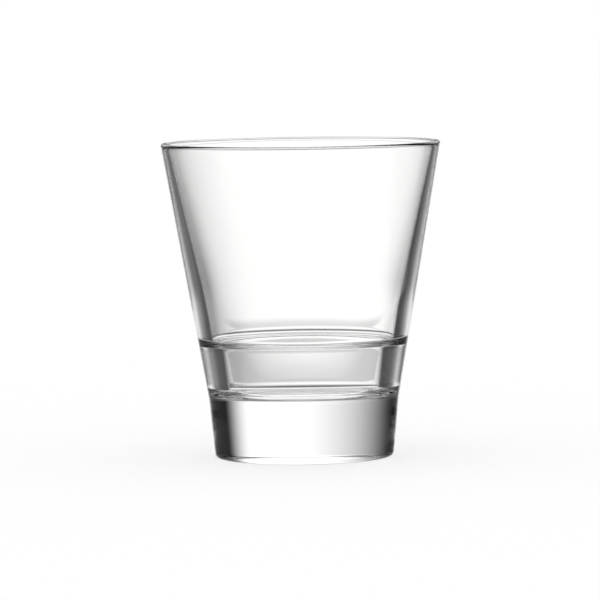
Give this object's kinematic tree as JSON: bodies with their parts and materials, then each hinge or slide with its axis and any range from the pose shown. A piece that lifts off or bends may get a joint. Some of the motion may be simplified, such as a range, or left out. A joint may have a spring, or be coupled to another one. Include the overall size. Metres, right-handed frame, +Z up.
{
  "type": "tumbler",
  "caption": "Stacking rocks tumbler in clear pressed glass: flared bowl, inner ledge that seats the foot of the next glass, narrower well below it and a heavy solid foot.",
  "frame": {"origin": "middle of the flat ring that the glass stands on, at table level", "axes": "+Z up the glass's axis, from the table to the rim; X and Y are free, because the glass is a solid of revolution, and -Y is taken as the picture's side"},
  "size_m": [0.0886, 0.0886, 0.1],
  "materials": {
    "clear_glass": "fire-polished"
  },
  "bodies": {
    "root": {"glass_tumbler": "clear_glass"}
  },
  "joints": []
}
